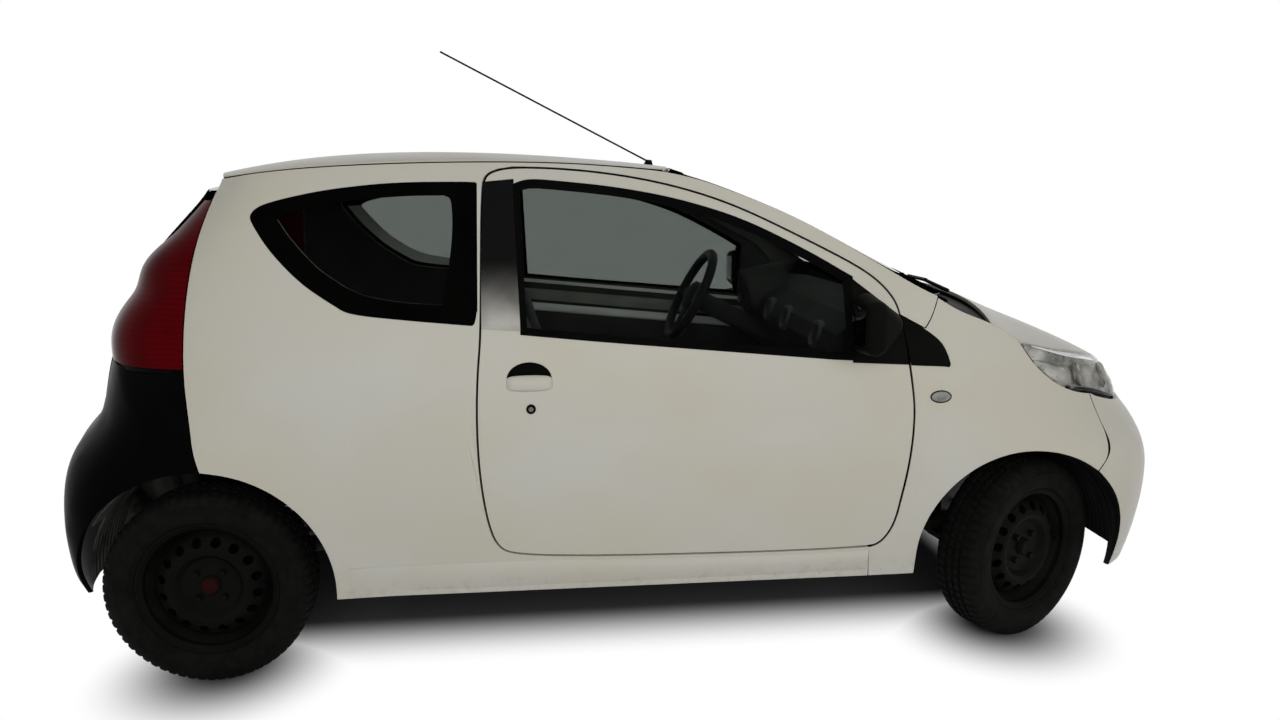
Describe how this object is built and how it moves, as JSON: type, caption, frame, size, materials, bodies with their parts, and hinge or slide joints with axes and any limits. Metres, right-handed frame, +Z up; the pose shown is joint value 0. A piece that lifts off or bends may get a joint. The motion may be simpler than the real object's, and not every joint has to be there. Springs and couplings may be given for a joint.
{
  "type": "city car",
  "caption": "Small pale hatchback with side doors, glass tailgate, black rear bumper, steel wheels and a raked whip antenna; doors, lids, wheels and steering move.",
  "frame": {"origin": "on the ground under the middle of the car", "axes": "+X forward, +Y to the car's left, +Z up"},
  "size_m": [3.4298, 1.86, 1.7988],
  "materials": {
    "paint": "gloss",
    "glass": "clear, lightly tinted",
    "black_plastic": "grained",
    "black_gloss": "gloss",
    "lamp_clear": "clear lens",
    "lamp_red": "red lens",
    "underbody": "dull",
    "interior": "matt",
    "seat_fabric": "woven",
    "engine_metal": "cast",
    "steel": "dull",
    "axle_iron": "black painted",
    "wheel_steel": "black satin",
    "tyre": "rubber"
  },
  "bodies": {
    "chassis": {"floor_pan": "underbody", "side_left": "paint", "side_right": "paint", "fender_left": "paint", "fender_right": "paint", "roof": "paint", "windscreen": "glass", "quarter_glass": "glass", "cowl": "black_plastic", "wipers": "black_plastic", "front_bumper": "paint", "grille": "black_plastic", "rear_bumper": "black_gloss", "headlamps": "lamp_clear", "tail_lamps": "lamp_red", "antenna": "black_plastic", "arch_liners": "black_plastic", "dashboard": "interior", "front_seats": "seat_fabric", "rear_seat": "seat_fabric", "engine": "engine_metal", "exhaust": "steel", "fuel_tank": "black_plastic", "rear_axle": "axle_iron", "front_subframe": "axle_iron", "dampers": "axle_iron"},
    "door_left": {"door_left": "paint", "door_glass_left": "glass", "mirror_left": "black_plastic"},
    "door_right": {"door_right": "paint", "door_glass_right": "glass", "mirror_right": "black_plastic"},
    "hood": {"hood": "paint"},
    "tailgate": {"tailgate": "glass"},
    "knuckle_left": {"knuckle_left": "axle_iron"},
    "knuckle_right": {"knuckle_right": "axle_iron"},
    "steering_wheel": {"steering_wheel": "interior"},
    "wheel_front_left": {"rim_front_left": "wheel_steel", "tyre_front_left": "tyre"},
    "wheel_front_right": {"rim_front_right": "wheel_steel", "tyre_front_right": "tyre"},
    "wheel_rear_left": {"rim_rear_left": "wheel_steel", "tyre_rear_left": "tyre"},
    "wheel_rear_right": {"rim_rear_right": "wheel_steel", "tyre_rear_right": "tyre"}
  },
  "joints": [
    {"name": "steer_left", "type": "hinge", "parent": "chassis", "child": "knuckle_left", "pos_m": [1.095, 0.65, 0.278], "axis": [0, 0, 1], "range_deg": [-60, 10]},
    {"name": "steer_right", "type": "hinge", "parent": "chassis", "child": "knuckle_right", "pos_m": [1.095, -0.65, 0.278], "axis": [0, 0, 1], "range_deg": [-60, 10]},
    {"name": "helm_turn", "type": "hinge", "parent": "chassis", "child": "steering_wheel", "pos_m": [0.279, 0.345, 0.931], "axis": [-0.891, 0, 0.454], "range_deg": [-900, 150]},
    {"name": "door_left_hinge", "type": "hinge", "parent": "chassis", "child": "door_left", "pos_m": [0.685, 0.798, 0.65], "axis": [0, 0, -1], "range_deg": [0, 65]},
    {"name": "door_right_hinge", "type": "hinge", "parent": "chassis", "child": "door_right", "pos_m": [0.685, -0.798, 0.65], "axis": [0, 0, 1], "range_deg": [0, 65]},
    {"name": "hood_hinge", "type": "hinge", "parent": "chassis", "child": "hood", "pos_m": [0.855, 0, 1.012], "axis": [0, -1, 0], "range_deg": [0, 55]},
    {"name": "tailgate_hinge", "type": "hinge", "parent": "chassis", "child": "tailgate", "pos_m": [-1.292, 0, 1.352], "axis": [0, 1, 0], "range_deg": [0, 75]},
    {"name": "wheel_front_left_spin", "type": "hinge", "parent": "knuckle_left", "child": "wheel_front_left", "pos_m": [1.06964, 0.70438, 0.278], "axis": [-0.4226, 0.9063, 0], "continuous": true},
    {"name": "wheel_rear_left_spin", "type": "hinge", "parent": "chassis", "child": "wheel_rear_left", "pos_m": [-1.245, 0.705, 0.278], "axis": [0, 1, 0], "continuous": true},
    {"name": "wheel_front_right_spin", "type": "hinge", "parent": "knuckle_right", "child": "wheel_front_right", "pos_m": [1.12036, -0.70438, 0.278], "axis": [-0.4226, 0.9063, 0], "continuous": true},
    {"name": "wheel_rear_right_spin", "type": "hinge", "parent": "chassis", "child": "wheel_rear_right", "pos_m": [-1.245, -0.705, 0.278], "axis": [0, 1, 0], "continuous": true}
  ],
  "couplings": [
    {"joint": "steer_right", "follows": "steer_left", "ratio": 1},
    {"joint": "helm_turn", "follows": "steer_left", "ratio": 15}
  ]
}
